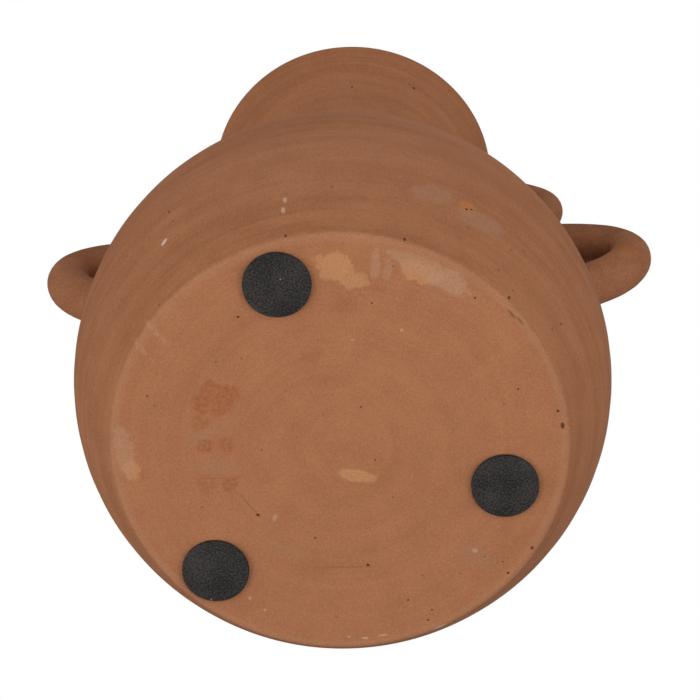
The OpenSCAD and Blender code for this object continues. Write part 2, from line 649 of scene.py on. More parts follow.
class Tone(Enum):
    """Colours of the marks on the clay, as linear red, green and blue. Some paint light and shade into the
    colour: painted light and a painted sheen on the belly, painted shade in the handles' loops.
    """

    OCHRE = (0.54, 0.262, 0.120, 1.0)
    # Pale clay for real pale patches, scuffs and flecks, and also a painted sheen on the belly's top edge.
    PALE_AND_PAINTED_SHEEN = (0.47, 0.255, 0.155, 1.0)
    RED = (0.335, 0.112, 0.046, 1.0)
    ORANGE = (0.46, 0.175, 0.058, 1.0)
    GREY = (0.365, 0.185, 0.105, 1.0)
    WHITE = (0.66, 0.47, 0.36, 1.0)
    # Painted light: a lighter, warmer clay colour that lightens the belly's front as light falling on it
    # would.
    BLOOM = (0.50, 0.225, 0.120, 1.0)
    # Dark clay for real pits, pinholes and cracks, and also painted shade on the handles.
    DARK = (0.10, 0.038, 0.018, 1.0)
    # Painted shade: near-black clay colour deep inside the handles' lower loops, where shade falls.
    PAINTED_SHADE = (0.05, 0.015, 0.004, 1.0)


# Height of the foot's underside above the table, and how deep into the clay marks reach
FOOT_UNDERSIDE = 2.2
FOOT_MARK_DEPTH = 4.0
WALL_MARK_DEPTH = 30.0


@dataclass(frozen=True)
class Mark:
    """One mark in the fired clay's colour, in millimetres and degrees. Most are real marks; some are
    painted light, painted sheen and painted shade.

    half is half its size along its own axes. turn is about Z. tilt is about its own first axis,
    which points outwards on the belly.
    """

    tone: Tone
    at: tuple[float, float, float]
    half: tuple[float, float, float]
    turn: float = 0.0
    tilt: float = 0.0
    strength: float = 1.0
    softness: float = 0.3
    raggedness: float = 0.3
    flaking: float = 0.0


def foot_mark(
    tone: Tone, x: float, y: float, half_x: float, half_y: float, turn: float = 0.0, strength: float = 1.0,
    softness: float = 0.3, raggedness: float = 0.3, flaking: float = 0.0,
) -> Mark:
    """A mark on the flat underside of the foot.

    Args:
        tone: Its colour.
        x: Its middle along X.
        y: Its middle along Y.
        half_x: Half its size along its own X.
        half_y: Half its size along its own Y.
        turn: Its turn about Z.
        strength: How much of its colour it has at its middle.
        softness: How wide its edge is, as a share of its half size.
        raggedness: How far its edge wanders, in the same way.
        flaking: How much of it has flaked off.

    Returns:
        The mark.
    """
    at = (x, y, FOOT_UNDERSIDE)
    half = (half_x, half_y, FOOT_MARK_DEPTH)
    return Mark(tone, at, half, turn, 0.0, strength, softness, raggedness, flaking)


def wall_mark(
    tone: Tone, around: float, reach: float, height: float, half_round: float, half_up: float,
    tilt: float = 0.0, strength: float = 1.0, softness: float = 0.3, raggedness: float = 0.3,
) -> Mark:
    """A mark on the outer wall.

    Args:
        tone: Its colour.
        around: Its angle round the jar.
        reach: How far its middle is from the jar's axis.
        height: How high its middle is above the table.
        half_round: Half its size round the jar.
        half_up: Half its size up the wall.
        tilt: Its turn about the line that points out of the wall.
        strength: How much of its colour it has at its middle.
        softness: How wide its edge is, as a share of its half size.
        raggedness: How far its edge wanders, in the same way.

    Returns:
        The mark.
    """
    angle = math.radians(around)
    at = (reach * math.cos(angle), reach * math.sin(angle), height)
    half = (WALL_MARK_DEPTH, half_round, half_up)
    return Mark(tone, at, half, around, tilt, strength, softness, raggedness)


FOOT_MARKS = (
    foot_mark(Tone.OCHRE, 3.0, -91.0, 9.0, 7.5, 12, 0.75, 0.2, 0.9),
    foot_mark(Tone.OCHRE, 10.0, -84.5, 9.0, 4.5, 25, 0.6, 0.25, 0.95),
    foot_mark(Tone.PALE_AND_PAINTED_SHEEN, 21.5, -90.5, 2.2, 7.5, 8, 0.5, 0.3, 0.85),
    foot_mark(Tone.PALE_AND_PAINTED_SHEEN, 27.0, -88.0, 2.0, 6.0, 12, 0.35, 0.3, 0.85),
    foot_mark(Tone.OCHRE, 42.0, -86.0, 10.5, 5.0, 24, 0.7, 0.25, 0.95),
    foot_mark(Tone.PALE_AND_PAINTED_SHEEN, 41.5, -90.5, 15.0, 4.0, 26, 0.55, 0.25, 0.85),
    foot_mark(Tone.PALE_AND_PAINTED_SHEEN, 55.0, -80.5, 9.5, 5.5, 34, 0.65, 0.2, 0.85),
    foot_mark(Tone.PALE_AND_PAINTED_SHEEN, -100.5, -1.5, 3.8, 12.0, -4, 0.5, 0.2, 0.85),
    foot_mark(Tone.OCHRE, -97.6, 7.5, 3.8, 5.5, -12, 0.6, 0.25, 0.85),
    foot_mark(Tone.OCHRE, 7.4, 15.7, 8.6, 3.2, 14, 0.7, 0.2, 0.4),
    foot_mark(Tone.RED, -56.0, -27.5, 10.0, 8.5, -10, 0.85, 0.2, 0.9, 0.75),
    foot_mark(Tone.RED, -63.5, -15.0, 4.5, 4.0, 0, 0.7, 0.3, 0.9, 0.75),
    foot_mark(Tone.RED, -62.3, -3.2, 4.0, 4.2, 0, 0.85, 0.25, 0.9, 0.75),
    foot_mark(Tone.RED, -53.2, -2.8, 3.6, 5.0, 20, 0.75, 0.25, 0.9, 0.75),
    foot_mark(Tone.RED, -52.0, 17.0, 4.2, 4.2, 0, 0.75, 0.25, 0.9, 0.75),
    foot_mark(Tone.RED, -63.0, 17.0, 4.6, 5.2, 0, 0.45, 0.3, 0.9, 0.75),
    foot_mark(Tone.GREY, -58.0, 8.0, 9.0, 3.2, 0, 0.45, 0.5, 0.8),
    foot_mark(Tone.GREY, -62.0, -9.0, 14.0, 2.6, -24, 0.5, 0.5, 0.6),
    foot_mark(Tone.GREY, 62.0, 61.5, 9.0, 5.0, 40, 0.4, 0.6, 0.6),
    foot_mark(Tone.GREY, -30.0, 52.0, 12.0, 3.4, 30, 0.3, 0.6, 0.8),
    foot_mark(Tone.RED, -12.0, -46.0, 7.0, 3.4, -30, 0.45, 0.6, 0.9, 0.75),
    foot_mark(Tone.RED, 0.0, -33.0, 8.0, 3.0, 0, 0.4, 0.6, 0.9, 0.75),
    foot_mark(Tone.RED, 6.0, -72.0, 6.0, 3.0, 0, 0.4, 0.6, 0.9, 0.75),
    foot_mark(Tone.WHITE, -32.4, 36.0, 1.2, 1.9, 30, 0.3, 0.6, 1.2, 0.6),
    foot_mark(Tone.WHITE, 42.7, 98.0, 3.6, 0.9, -22, 0.45, 0.4, 0.5),
    foot_mark(Tone.WHITE, 6.6, 102.2, 1.6, 0.6, 0, 0.45, 0.4, 0.8),
    foot_mark(Tone.WHITE, 15.0, 101.0, 2.2, 0.5, -8, 0.4, 0.4, 0.9),
    foot_mark(Tone.WHITE, -1.0, 101.0, 0.8, 0.5, 0, 0.4, 0.4, 0.5),
    foot_mark(Tone.WHITE, -47.0, 78.1, 0.7, 0.9, 0, 0.4, 0.4, 0.3),
    foot_mark(Tone.WHITE, -40.2, 84.9, 0.7, 0.7, 0, 0.35, 0.4, 0.3),
    foot_mark(Tone.WHITE, -81.5, -62.2, 1.3, 7.0, -38, 0.2, 0.8, 1.6, 1.0),
    foot_mark(Tone.WHITE, -88.0, -53.0, 1.1, 5.5, -32, 0.15, 0.8, 1.6, 1.0),
    foot_mark(Tone.WHITE, 61.0, 57.5, 1.4, 0.9, 30, 0.3, 0.4, 0.6),
    foot_mark(Tone.WHITE, 32.0, -58.0, 0.7, 0.7, 0, 0.35, 0.4, 0.4),
    foot_mark(Tone.WHITE, 9.0, -54.0, 0.8, 0.6, 0, 0.3, 0.4, 0.4),
)

WALL_LIGHT_AND_MARKS = (
    # Painted light: the first two marks lighten the belly's front in broad, soft patches.
    wall_mark(Tone.BLOOM, -90.0, 108.0, 125.0, 95.0, 42.0, 0, 0.55, 0.75, 0.25),
    wall_mark(Tone.BLOOM, -90.0, 120.0, 60.0, 62.0, 34.0, 0, 0.3, 0.75, 0.35),
    # Painted sheen: a paler, greyer band along the belly's top edge, where grazing light lightens it.
    wall_mark(Tone.PALE_AND_PAINTED_SHEEN, -90.0, 112.0, 142.0, 85.0, 14.0, 0, 0.75, 0.6, 0.2),
    wall_mark(Tone.GREY, -66.5, 121.0, 32.5, 10.5, 5.2, 14, 0.75, 0.3, 0.25),
    wall_mark(Tone.GREY, -54.5, 121.0, 29.5, 12.5, 5.6, 10, 0.75, 0.3, 0.25),
    wall_mark(Tone.ORANGE, -58.1, 122.3, 32.4, 5.0, 4.6, 0, 0.9, 0.35, 0.1),
    wall_mark(Tone.WHITE, -129.0, 122.0, 31.3, 2.0, 1.1, 24, 0.9, 0.25, 0.3),
    wall_mark(Tone.WHITE, -99.2, 118.3, 22.1, 0.8, 1.3, 0, 0.55, 0.5, 0.5),
    wall_mark(Tone.WHITE, -99.8, 115.7, 16.6, 0.9, 1.6, 0, 0.55, 0.5, 0.5),
)

HANDLE_SHADE_AND_MARKS = (
    # Painted shade: the first two marks darken the inside of the lower loops, where the lower arm keeps
    # light off.
    Mark(Tone.PAINTED_SHADE, (117.0, 4.0, 211.0), (24.0, 13.0, 12.0), 0.0, 0.0, 1.0, 0.5, 0.25),
    Mark(Tone.PAINTED_SHADE, (-117.0, 4.0, 211.0), (24.0, 13.0, 12.0), 0.0, 0.0, 0.7, 0.5, 0.25),
    # Painted shade: these three marks darken the upper arms of the lower loops and the right upper loop.
    Mark(Tone.DARK, (118.0, 0.0, 232.0), (36.0, 22.0, 13.0), 0.0, 0.0, 0.42, 0.7, 0.9),
    Mark(Tone.DARK, (-118.0, 0.0, 232.0), (36.0, 22.0, 13.0), 0.0, 0.0, 0.3, 0.7, 0.9),
    Mark(Tone.DARK, (112.0, 0.0, 280.0), (30.0, 30.0, 40.0), 0.0, 0.0, 0.12, 0.7, 0.5),
    Mark(Tone.ORANGE, (139.0, -9.0, 199.0), (9.0, 8.0, 8.0), 0.0, 0.0, 0.4, 0.6, 0.4),
)

FOOT_PITS = (
    foot_mark(Tone.DARK, -40.3, 34.1, 0.85, 0.6, 30, 1.0, 0.35, 0.1),
    foot_mark(Tone.DARK, -44.2, 28.6, 0.3, 7.2, -35, 0.3, 0.6, 0.4),
    foot_mark(Tone.DARK, -60.5, 14.0, 7.0, 0.25, 0, 0.2, 0.7, 0.5),
    foot_mark(Tone.DARK, 10.1, 62.9, 0.7, 0.65, 0, 1.0, 0.35, 0.1),
    foot_mark(Tone.DARK, -0.5, 63.6, 10.5, 0.25, 2, 0.25, 0.7, 0.3),
    foot_mark(Tone.DARK, -42.8, -68.0, 0.55, 0.5, 0, 0.95, 0.35, 0.1),
    foot_mark(Tone.DARK, 11.2, -19.8, 0.45, 0.4, 0, 0.8, 0.4, 0.1),
    foot_mark(Tone.DARK, 16.3, 7.8, 0.4, 0.45, 0, 0.7, 0.4, 0.1),
    foot_mark(Tone.DARK, -14.1, 47.4, 0.45, 0.4, 0, 0.8, 0.4, 0.1),
    foot_mark(Tone.DARK, 84.3, -25.7, 0.45, 0.45, 0, 0.8, 0.4, 0.1),
    foot_mark(Tone.DARK, 102.4, -13.6, 0.65, 0.6, 0, 0.95, 0.35, 0.1),
    foot_mark(Tone.DARK, 104.3, -6.0, 0.8, 1.5, 0, 0.95, 0.35, 0.3),
    foot_mark(Tone.DARK, 88.0, 57.3, 0.7, 0.85, 0, 0.9, 0.35, 0.3),
    foot_mark(Tone.DARK, 76.2, 70.1, 0.6, 0.6, 0, 0.85, 0.35, 0.2),
    foot_mark(Tone.DARK, 74.0, 64.0, 0.35, 0.35, 0, 0.8, 0.35, 0.2),
    foot_mark(Tone.DARK, 28.2, 82.5, 0.45, 0.45, 0, 0.85, 0.4, 0.1),
    foot_mark(Tone.DARK, 37.2, 93.7, 0.5, 0.45, 0, 0.85, 0.4, 0.1),
    foot_mark(Tone.DARK, 39.3, 88.4, 0.45, 0.45, 0, 0.8, 0.4, 0.1),
    foot_mark(Tone.DARK, -87.7, -30.0, 0.45, 0.4, 0, 0.8, 0.4, 0.1),
    foot_mark(Tone.DARK, 19.0, -72.1, 0.4, 0.4, 0, 0.8, 0.4, 0.1),
    foot_mark(Tone.DARK, 66.2, -72.4, 0.45, 0.45, 0, 0.85, 0.4, 0.1),
    foot_mark(Tone.DARK, 82.8, -63.5, 0.5, 2.6, -38, 0.55, 0.5, 0.3),
    foot_mark(Tone.DARK, 86.5, -60.0, 0.4, 2.2, -34, 0.45, 0.5, 0.3),
    wall_mark(Tone.DARK, -99.9, 106.5, 4.0, 0.5, 0.6, 0, 0.9, 0.35, 0.1),
    wall_mark(Tone.DARK, -70.9, 106.5, 4.0, 0.7, 0.6, 0, 0.9, 0.35, 0.1),
    wall_mark(Tone.DARK, -41.0, 107.1, 4.2, 0.6, 0.65, 0, 0.9, 0.35, 0.1),
)

WALL_PITS = (
    wall_mark(Tone.DARK, -57.4, 122.4, 33.3, 0.7, 0.4, 20, 1.0, 0.3, 0.1),
    wall_mark(Tone.DARK, -58.5, 122.3, 31.9, 0.65, 0.45, 30, 1.0, 0.3, 0.1),
    wall_mark(Tone.DARK, -126.2, 127.0, 49.2, 0.5, 0.6, 0, 0.9, 0.35, 0.1),
    wall_mark(Tone.DARK, -88.7, 120.3, 26.8, 0.45, 0.45, 0, 0.5, 0.4, 0.1),
    wall_mark(Tone.DARK, -25.5, 117.0, 18.8, 0.5, 0.5, 0, 0.7, 0.4, 0.1),
    wall_mark(Tone.DARK, -86.8, 64.4, 315.3, 0.5, 0.65, 0, 0.75, 0.4, 0.1),
    wall_mark(Tone.DARK, -57.6, 68.6, 327.0, 0.65, 0.8, 0, 0.95, 0.35, 0.1),
)


@dataclass(frozen=True)
class ClayFinish:
    """Fired, unglazed terracotta."""

    name: str
    dark: tuple[float, float, float, float]
    light: tuple[float, float, float, float]
    foot_dark: tuple[float, float, float, float] = (0.365, 0.148, 0.069, 1.0)
    foot_light: tuple[float, float, float, float] = (0.435, 0.182, 0.087, 1.0)
    roughness: float = 0.86
    relief: float = 0.00035
    lines: float = 0.5
    line_spacing: float = 0.009
    trim_spacing: float = 0.004
    edge_paling: float = 0.2
    fleck_strength: float = 0.4
    scuff_strength: float = 0.3
    pinhole_strength: float = 0.35
    pit_depth: float = 1.5
    marks: tuple[Mark, ...] = ()
    pits: tuple[Mark, ...] = ()

    def mask(
        self, graph: Graph, groups: Grouped, place: bpy.types.NodeSocket, grain: bpy.types.Node, mark: Mark,
    ) -> bpy.types.NodeSocket:
        """The mask of one mark, already weighted by its strength.

        Args:
            graph: The material's graph.
            groups: The node groups.
            place: The object coordinates.
            grain: The grain group's node, whose noise frays the mark's edge.
            mark: The mark.

        Returns:
            The mask.
        """
        made = graph.node("ShaderNodeGroup", node_tree=groups.patch)
        graph.feed(made.inputs["Place"], place)
        graph.feed(made.inputs["Coarse"], grain.outputs["Coarse"])
        graph.feed(made.inputs["Flakes"], grain.outputs["Flakes"])
        made.inputs["Centre"].default_value = [v * MM for v in mark.at]
        made.inputs["Turn"].default_value = (math.radians(mark.tilt), 0.0, math.radians(mark.turn))
        made.inputs["Half Size"].default_value = [v * MM for v in mark.half]
        made.inputs["Softness"].default_value = mark.softness
        made.inputs["Raggedness"].default_value = mark.raggedness
        made.inputs["Flaking"].default_value = mark.flaking
        return graph.math("MULTIPLY", made.outputs["Mask"], mark.strength)

    def across(
        self, graph: Graph, place: bpy.types.NodeSocket, form: JarForm
    ) -> tuple[object, object, object]:
        """How far a place is along the jar's outline, for lines that run round it.

        Args:
            graph: The material's graph.
            place: The object coordinates.
            form: The jar's form.

        Returns:
            The distance across the turning lines, the mask of the foot's underside and the mask
            of its rounded edge.
        """
        parts = graph.node("ShaderNodeSeparateXYZ", {0: place})
        x, y, z = parts.outputs[0], parts.outputs[1], parts.outputs[2]
        squares = graph.math("ADD", graph.math("MULTIPLY", x, x), graph.math("MULTIPLY", y, y))
        reach = graph.math("SQRT", squares)
        up = graph.math("SUBTRACT", z, form.belly_c[1] * MM)
        belly = graph.math("MULTIPLY", graph.math("ARCTAN2", up, reach), form.belly_r * MM)
        neck = graph.ramp(z, (form.joint_z - 2) * MM, (form.joint_z + 6) * MM)
        on_wall = graph.math("ADD", graph.math("MULTIPLY", belly, graph.math("SUBTRACT", 1.0, neck)),
                             graph.math("MULTIPLY", z, neck))
        under = graph.ramp(z, (form.foot_z + 0.5) * MM, (form.foot_z + 1.5) * MM, 1.0, 0.0)
        across = graph.math("ADD", graph.math("MULTIPLY", on_wall, graph.math("SUBTRACT", 1.0, under)),
                            graph.math("MULTIPLY", reach, under))
        edge_in = graph.ramp(reach, (form.belly_r - 28.5) * MM, (form.belly_r - 25.5) * MM)
        edge_out = graph.ramp(z, (form.foot_z + 0.2) * MM, (form.foot_z + 2.4) * MM, 1.0, 0.0)
        return across, under, graph.math("MULTIPLY", edge_in, edge_out)

    def build(self, groups: Grouped, form: JarForm) -> bpy.types.Material:
        """Makes the material.

        Args:
            groups: The node groups.
            form: The jar's form.

        Returns:
            The material.
        """
        material, graph = blank_material(self.name)
        place = graph.node("ShaderNodeTexCoord").outputs["Object"]
        grain = graph.node("ShaderNodeGroup", {"Place": place}, node_tree=groups.grain)
        across, under, edge = self.across(graph, place, form)
        lines = graph.node(
            "ShaderNodeGroup",
            {"Place": place, "Across": across, "Spacing": self.line_spacing},
            node_tree=groups.lines,
        )
        share = graph.mean((grain.outputs["Shade"], 1.0 - self.lines), (lines.outputs["Shade"], self.lines))
        share = graph.ramp(share, 0.36, 0.64)
        colour = graph.blend(share, self.dark, self.light)
        trims = graph.node(
            "ShaderNodeGroup",
            {"Place": place, "Across": across, "Spacing": self.trim_spacing},
            node_tree=groups.lines,
        )
        foot_share = graph.mean(
            (grain.outputs["Shade"], 0.67), (lines.outputs["Shade"], 0.13), (trims.outputs["Shade"], 0.2)
        )
        foot_colour = graph.blend(graph.ramp(foot_share, 0.38, 0.62), self.foot_dark, self.foot_light)
        scuffs = graph.math("MULTIPLY", grain.outputs["Scuffs"], self.scuff_strength)
        foot_colour = graph.blend(scuffs, foot_colour, Tone.PALE_AND_PAINTED_SHEEN.value)
        colour = graph.blend(under, colour, foot_colour)
        # A paler ring on the foot's rounded edge.
        edge_pale = graph.math("MULTIPLY", edge, self.edge_paling)
        colour = graph.blend(edge_pale, colour, Tone.PALE_AND_PAINTED_SHEEN.value)
        flecks = graph.math("MULTIPLY", grain.outputs["Flecks"], self.fleck_strength)
        colour = graph.blend(flecks, colour, Tone.PALE_AND_PAINTED_SHEEN.value)
        # Marks, tone by tone; among them painted light and a painted sheen on the belly and painted shade
        # in the handles' loops.
        for tone in Tone:
            marks = (mark for mark in self.marks if mark.tone is tone)
            masks = (self.mask(graph, groups, place, grain, mark) for mark in marks)
            colour = graph.blend(graph.most(0.0, masks), colour, tone.value)
        pinholes = graph.math("MULTIPLY", grain.outputs["Pits"], self.pinhole_strength)
        pits = graph.most(pinholes, (self.mask(graph, groups, place, grain, pit) for pit in self.pits))
        colour = graph.blend(pits, colour, Tone.DARK.value)
        colour = graph.tinted(colour, grain.outputs["Speckle"])
        relief = graph.mean(
            (grain.outputs["Relief"], 0.45), (lines.outputs["Shade"], 0.55), (pits, -self.pit_depth)
        )
        bump = graph.node("ShaderNodeBump", {"Height": relief, "Strength": 1.0, "Distance": self.relief})
        shader = graph.node("ShaderNodeBsdfPrincipled", {"Base Color": colour, "Normal": bump.outputs[0]})
        shader.inputs["Roughness"].default_value = self.roughness
        shader.inputs["Specular IOR Level"].default_value = 0.1
        graph.node("ShaderNodeOutputMaterial", {"Surface": shader.outputs[0]})
        return material


@dataclass(frozen=True)
class FoamFinish:
    """Black closed-cell foam with a fine tooth and a few painted glints, small pale specks in its colour.
    """

    name: str = "black_foam"
    dark: tuple[float, float, float, float] = (0.006, 0.0052, 0.005, 1.0)
    light: tuple[float, float, float, float] = (0.050, 0.043, 0.040, 1.0)
    cell: float = 0.0009

    def build(self) -> bpy.types.Material:
        """Makes the material.

        Returns:
            The material.
        """
        material, graph = blank_material(self.name)
        place = graph.node("ShaderNodeTexCoord").outputs["Object"]
        fine = graph.noise(place, 1 / self.cell, 2.0, 0.7)
        cells = graph.node("ShaderNodeTexVoronoi", {"Vector": place, "Scale": 0.7 / self.cell})
        broad = graph.noise(place, 60.0, 2.0, 0.5)
        share = graph.mean((fine, 0.75), (broad, 0.25))
        colour = graph.blend(graph.ramp(share, 0.4, 0.62), self.dark, self.light)
        # Painted glints: a few small pale specks mixed into the foam's colour.
        glint_cells = graph.node("ShaderNodeTexVoronoi", {"Vector": place, "Scale": 230.0})
        rare = graph.node("ShaderNodeSeparateColor", {0: glint_cells.outputs["Color"]})
        painted_glints = graph.math("MULTIPLY", graph.ramp(glint_cells.outputs["Distance"], 0.06, 0.12, 1.0, 0.0),
                            graph.ramp(rare.outputs[0], 0.9, 0.93))
        colour = graph.blend(graph.math("MULTIPLY", painted_glints, 0.55), colour, (0.5, 0.5, 0.5, 1.0))
        height = graph.math("ADD", graph.math("MULTIPLY", cells.outputs["Distance"], 0.7), fine)
        bump = graph.node("ShaderNodeBump", {"Height": height, "Strength": 0.8, "Distance": 0.00018})
        shader = graph.node("ShaderNodeBsdfPrincipled", {"Base Color": colour, "Normal": bump.outputs[0]})
        shader.inputs["Roughness"].default_value = 0.8
        shader.inputs["Specular IOR Level"].default_value = 0.35
        graph.node("ShaderNodeOutputMaterial", {"Surface": shader.outputs[0]})
        return material


@dataclass(frozen=True)
class FilmFinish:
    """Cloudy adhesive film, coloured dark brown as painted shade beside the pads."""

    name: str = "adhesive_film"
    # Painted shade: the film is coloured dark brown so that its edge beside each pad reads as shade.
    colour: tuple[float, float, float, float] = (0.13, 0.085, 0.055, 1.0)
    cloud_dark: tuple[float, float, float, float] = (0.06, 0.04, 0.03, 1.0)

    def build(self) -> bpy.types.Material:
        """Makes the material.

        Returns:
            The material.
        """
        material, graph = blank_material(self.name)
        place = graph.node("ShaderNodeTexCoord").outputs["Object"]
        cloud = graph.noise(place, 240.0, 3.0, 0.6)
        colour = graph.blend(graph.ramp(cloud, 0.35, 0.65), self.colour, self.cloud_dark)
        shader = graph.node("ShaderNodeBsdfPrincipled", {"Base Color": colour})
        shader.inputs["Roughness"].default_value = 0.45
        graph.node("ShaderNodeOutputMaterial", {"Surface": shader.outputs[0]})
        return material


# ------------------------------------------------------------------------------ the jar's pieces


@dataclass
class ThrownJar:
    """The two thrown pieces: the body with its foot, and the neck with its rim."""

    form: JarForm
    finish: bpy.types.Material
    foot_finish: bpy.types.Material
    foot_band: float = 8.0
    steps: int = 320
    wobble: float = 0.32
    ridge: float = 0.16
    ridge_spacing: float = 10.5
    foot_ring: float = 0.10
    foot_ring_spacing: float = 6.5

    def settle(self, place: Vector) -> Vector:
        """Moves a point of the turned surface to where a hand and the kiln left it.

        Args:
            place: A point on the true surface, in metres.

        Returns:
            The moved point. It only moves inwards, so the true form still bounds it.
        """
        reach = math.hypot(place.x, place.y)
        if reach < 1e-6:
            return place
        turn = math.atan2(place.y, place.x)
        height = place.z / MM
        ring = Vector((place.x / reach, place.y / reach, height / 90.0))
        slow = noise.noise(ring * 1.3)
        drift = noise.noise(Vector((ring.x, ring.y, height / 30.0)) * 0.9)
        ridges = math.sin(FULL_TURN * height / self.ridge_spacing + turn + 3.0 * drift)
        above_foot = fade(height, self.form.foot_z + 1.0, self.form.foot_z + 16.0)
        inwards = self.wobble * (0.5 + 0.7 * slow) + self.ridge * (0.5 + 0.5 * ridges) * above_foot
        reach_now = reach - max(0.0, inwards) * MM * fade(reach / MM, 20.0, 90.0)
        if height > self.form.joint_z:
            reach_now = reach - max(0.0, inwards) * MM * 0.7
        lift = 0.0
        if height < self.form.foot_z + 0.01:
            drifted = reach / MM / self.foot_ring_spacing * FULL_TURN + 1.5 * noise.noise(ring * 2.0)
            rings = math.sin(drifted)
            hollow = 1.0 - fade(reach / MM, 40.0, 100.0)
            lift = self.foot_ring * (0.5 + 0.5 * rings) * MM * (0.35 + 0.65 * hollow)
        scale = reach_now / reach
        return Vector((place.x * scale, place.y * scale, place.z + lift))

    def build(self) -> list[bpy.types.Object]:
        """Builds the body and the neck.

        Returns:
            The two pieces.
        """
        pieces = []
        for name, node, outline in (
            ("thrown_body", "body", self.form.body_outline()),
            ("thrown_neck", "neck", self.form.neck_outline()),
        ):
            work = thrown_shell(outline, self.steps)
            for vert in work.verts:
                vert.co = self.settle(vert.co)
            piece = finished_object(name, work, self.finish, "root")
            piece.data.materials.append(self.foot_finish)
            for face in piece.data.polygons:
                face.material_index = int(face.center.z < (self.form.foot_z + self.foot_band) * MM)
            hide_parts(node)
            pieces.append(piece)
        return pieces


@dataclass
class LoopHandle:
    """A rolled rod of clay bent into a loop, pressed on at both ends and smeared in."""

    form: JarForm
    finish: bpy.types.Material
    node: str
    guides: tuple[Point2, Point2, Point2, Point2]
    rod_d: float
    side: int
    seed: float
    rings: int = 72
    sides: int = 32
    tail: float = 12.0
    tail_steps: int = 4
    root_swell: float = 0.12
    bury: float = 2.5
    smear: float = 0.22
    smear_reach: float = 5.0

    def on_line(self, share: float) -> Point2:
        """A point of the centre line.

        Args:
            share: How far along, from 0 at the lower root to 1 at the upper one.

        Returns:
            The point as (radius, height), in millimetres.
        """
        rest = 1 - share
        weights = (rest**3, 3 * rest**2 * share, 3 * rest * share**2, share**3)
        return (
            sum(w * g[0] for w, g in zip(weights, self.guides)),
            sum(w * g[1] for w, g in zip(weights, self.guides)),
        )

    def heading(self, share: float) -> Vector:
        """The centre line's direction.

        Args:
            share: How far along, from 0 at the lower root to 1 at the upper one.

        Returns:
            A unit vector in the XZ plane.
        """
        rest = 1 - share
        weights = (rest**2, 2 * rest * share, share**2)
        legs = [(b[0] - a[0], b[1] - a[1]) for a, b in zip(self.guides, self.guides[1:])]
        x = sum(w * leg[0] for w, leg in zip(weights, legs))
        z = sum(w * leg[1] for w, leg in zip(weights, legs))
        return Vector((x, 0, z)).normalized()

    def stations(self) -> list[tuple[Vector, Vector, float]]:
        """Where the rod's rings go.

        Returns:
            Centre, heading and radius of every ring, in millimetres.
        """
        made = []
        for i in range(self.rings + 1):
            share = i / self.rings
            x, z = self.on_line(share)
            radius = self.rod_d / 2 * (1 + self.root_swell * abs(2 * share - 1) ** 6)
            made.append((Vector((x, 0, z + self.form.foot_z)), self.heading(share), radius))
        first, last = made[0], made[-1]
        inwards = [self.tail * i / self.tail_steps for i in range(1, self.tail_steps + 1)]
        before = [(first[0] - first[1] * far, first[1], first[2]) for far in reversed(inwards)]
        after = [(last[0] + last[1] * far, last[1], last[2]) for far in inwards]
        return before + made + after

    def shaped(self, centre: Vector, place: Vector) -> Vector:
        """Where a point of the rod ends up once the clay is worked.

        Args:
            centre: The middle of its ring, in metres.
            place: The point on the plain rod, in metres.

        Returns:
            The point with thumb-worked unevenness, smeared out at the roots and buried in the wall.
        """
        uneven = noise.noise(place * 34.0 + Vector((self.seed, 0, 0)))
        finer = noise.noise(place * 90.0 + Vector((0, self.seed, 0)))
        gap = self.form.outside(place)
        spread = 1 + self.smear * math.exp(-max(gap, 0.0) / self.smear_reach)
        place = centre + (place - centre) * spread * (1 - 0.022 * (1 - uneven) - 0.008 * (1 - finer))
        for _ in range(3):
            gap = self.form.outside(place)
            if gap >= -self.bury:
                break
            place = place + self.form.away(place) * (-self.bury - gap) * MM
        return place

    def build(self) -> bpy.types.Object:
        """Extrudes a ring along the centre line and works the result.

        Returns:
            The finished handle, closed at both buried ends.
        """
        stations = self.stations()
        work = bmesh.new()
        start = bmesh.ops.create_circle(work, cap_ends=True, radius=1.0, segments=self.sides)
        loop = list(start["verts"])
        edges = list({edge for vert in loop for edge in vert.link_edges})
        self.lay_ring(loop, stations[0])
        for station in stations[1:]:
            grown = bmesh.ops.extrude_edge_only(work, edges=edges)["geom"]
            loop = [item for item in grown if isinstance(item, bmesh.types.BMVert)]
            edges = [item for item in grown if isinstance(item, bmesh.types.BMEdge)]
            self.move_ring(loop, self.previous, station)
            self.previous = station
        bmesh.ops.contextual_create(work, geom=edges)
        centres = [centre * MM for centre, _, _ in stations]
        for vert in work.verts:
            nearest = min(centres, key=lambda c: (c - vert.co).length_squared)
            vert.co = self.shaped(nearest, vert.co)
        if self.side < 0:
            half_turn = Matrix.Rotation(math.pi, 3, "Z")
            bmesh.ops.rotate(work, verts=work.verts, cent=(0, 0, 0), matrix=half_turn)
        bmesh.ops.recalc_face_normals(work, faces=work.faces)
        piece = finished_object(self.node + "_clay", work, self.finish, "root")
        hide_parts(self.node)
        return piece

    def lay_ring(self, loop: Sequence[bmesh.types.BMVert], station: tuple[Vector, Vector, float]) -> None:
        """Lays the first unit circle across the line.

        Args:
            loop: The circle's vertices.
            station: The first ring's centre, heading and radius.
        """
        centre, heading, radius = station
        aside = Vector((-heading.z, 0, heading.x))
        for vert in loop:
            vert.co = (centre + aside * vert.co.x * radius + Vector((0, 1, 0)) * vert.co.y * radius) * MM
        self.previous = station

    @staticmethod
    def move_ring(
        loop: Sequence[bmesh.types.BMVert],
        old: tuple[Vector, Vector, float],
        new: tuple[Vector, Vector, float],
    ) -> None:
        """Moves a ring from one station to the next, turned and scaled to fit.

        Args:
            loop: The ring's vertices.
            old: Centre, heading and radius that it has.
            new: Centre, heading and radius that it gets.
        """
        turn = old[1].rotation_difference(new[1]).to_matrix()
        for vert in loop:
            vert.co = new[0] * MM + turn @ (vert.co - old[0] * MM) * (new[2] / old[2])


